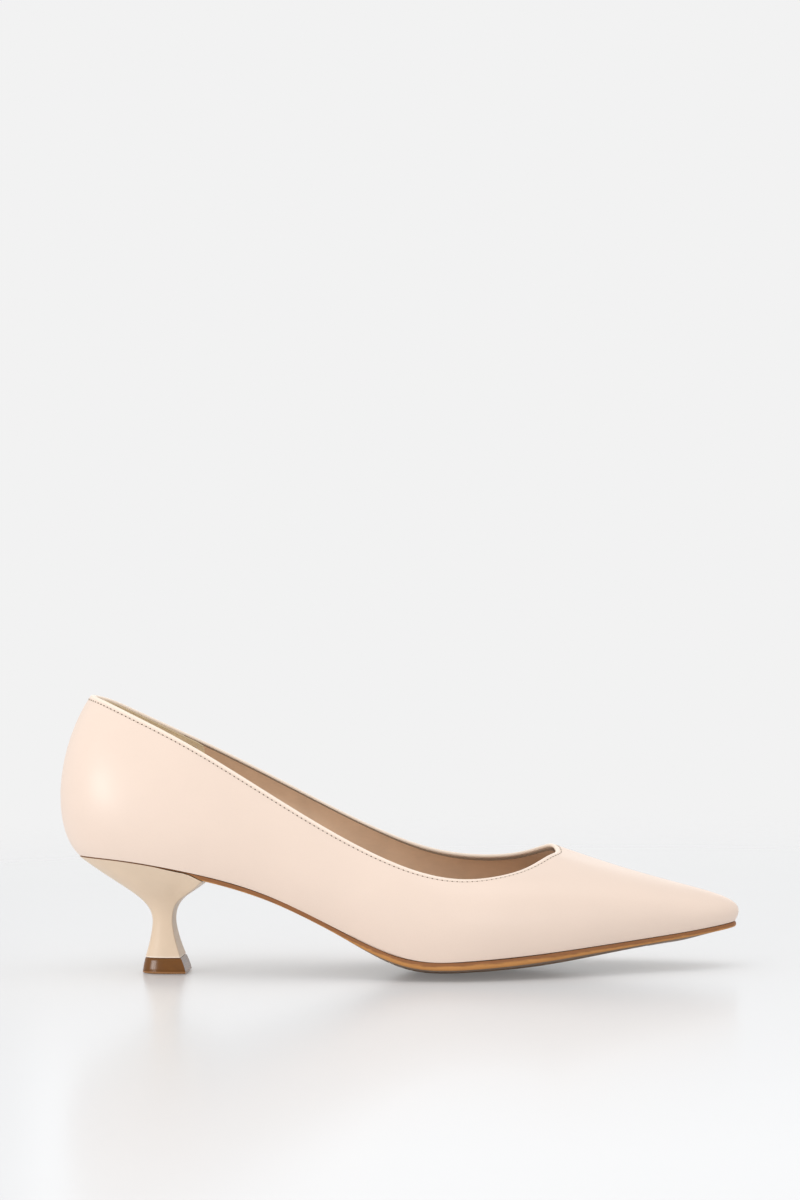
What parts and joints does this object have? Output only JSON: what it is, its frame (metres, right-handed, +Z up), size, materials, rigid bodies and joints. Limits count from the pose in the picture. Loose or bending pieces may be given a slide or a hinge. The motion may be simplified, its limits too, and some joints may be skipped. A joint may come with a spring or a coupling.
{
  "type": "court shoe",
  "caption": "Right pointed-toe court shoe in smooth nude leather, with a stitched folded topline, a thin painted-edge sole and a low flared heel on a small glossy tip.",
  "frame": {"origin": "on the ground, under the middle of the shoe's box", "axes": "+X to the toe, +Y to the inner (medial) side of the foot, +Z up; the shoe stands on Z = 0"},
  "size_m": [0.2704, 0.0802, 0.1118],
  "materials": {
    "upper_leather": "smooth satin",
    "topline_thread": "matt twisted thread",
    "vamp_lining": "matt napped",
    "heel_grip_lining": "matt napped",
    "stiffener": "matt",
    "sock_lining": "matt",
    "foam": "matt cellular",
    "board": "matt fibreboard",
    "outsole": "satin, painted edge",
    "heel_block": "satin lacquer",
    "heel_tip": "glossy",
    "steel": "bright"
  },
  "bodies": {
    "root": {"upper_leather": "upper_leather", "topline_tape": "stiffener", "back_seam_tape": "stiffener", "heel_counter": "stiffener", "toe_puff": "stiffener", "vamp_lining": "vamp_lining", "heel_grip_lining": "heel_grip_lining", "topline_thread": "topline_thread", "insole_board": "board", "shank_board": "board", "steel_shank": "steel", "shank_rivet_rear": "steel", "shank_rivet_front": "steel", "forefoot_filler": "foam", "heel_pad": "foam", "ball_pad": "foam", "sock_lining": "sock_lining", "outsole": "outsole", "heel_block": "heel_block", "heel_tube": "steel", "heel_screw": "steel", "heel_nail_1": "steel", "heel_nail_2": "steel", "heel_nail_3": "steel", "heel_nail_4": "steel", "heel_tip": "heel_tip", "heel_tip_pin": "steel"}
  },
  "joints": []
}
